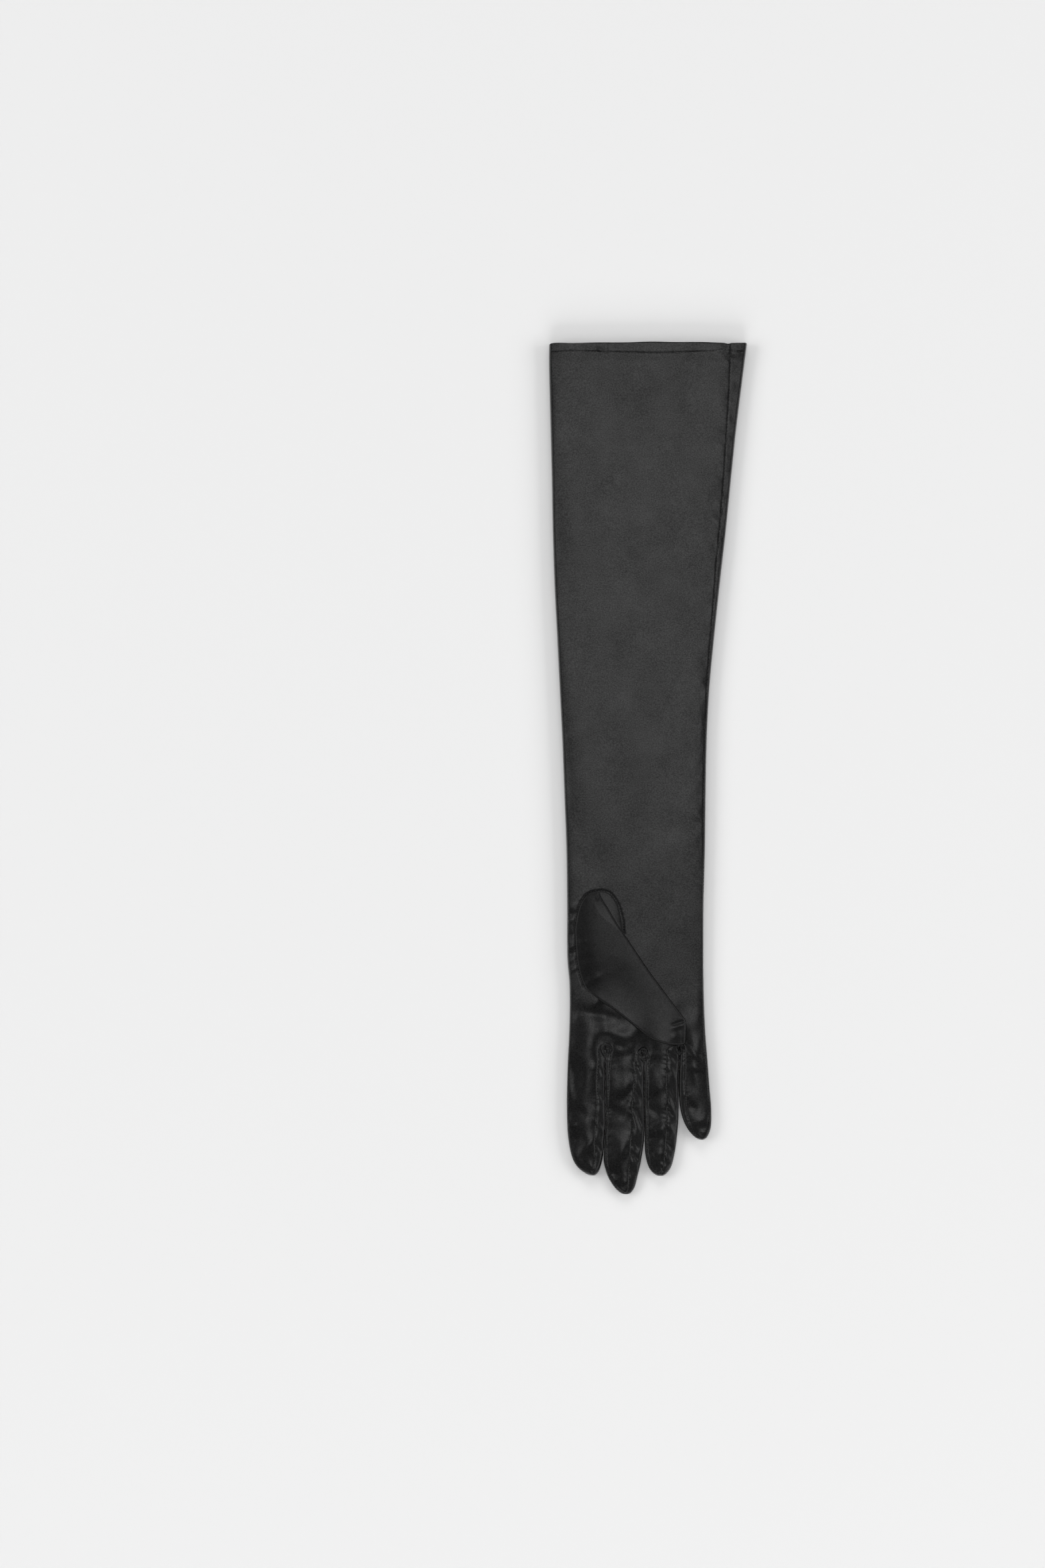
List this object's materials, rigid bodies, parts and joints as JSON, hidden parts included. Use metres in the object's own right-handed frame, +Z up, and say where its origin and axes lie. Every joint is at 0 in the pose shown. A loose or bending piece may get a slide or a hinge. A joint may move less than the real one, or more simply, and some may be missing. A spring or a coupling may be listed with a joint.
{
  "type": "long satin glove",
  "caption": "Long dress glove in dark satin, lying flat with the palm up and the thumb folded over it; hollow sleeve, palm, fingers and thumb.",
  "frame": {"origin": "centre of the footprint, on the surface that the glove lies on", "axes": "+Y from the fingertips to the sleeve's mouth, +Z up from the surface through the palm, +X towards the little finger's side"},
  "size_m": [0.1276, 0.5496, 0.0151],
  "materials": {
    "satin": "smooth black satin with a soft sheen",
    "satin_hem": "the same satin, turned inside the mouth",
    "satin_thumb": "the same satin, cut on another grain",
    "satin_fourchette": "the same satin, puckered along its seams",
    "satin_gusset": "the same satin, gathered tightly"
  },
  "bodies": {
    "root": {"hand_and_sleeve": "satin", "hem_turning": "satin_hem", "thumb": "satin_thumb", "fourchette_index_middle": "satin_fourchette", "fourchette_middle_ring": "satin_fourchette", "fourchette_ring_little": "satin_fourchette", "gusset_index_middle": "satin_gusset", "gusset_middle_ring": "satin_gusset", "gusset_ring_little": "satin_gusset"}
  },
  "joints": []
}
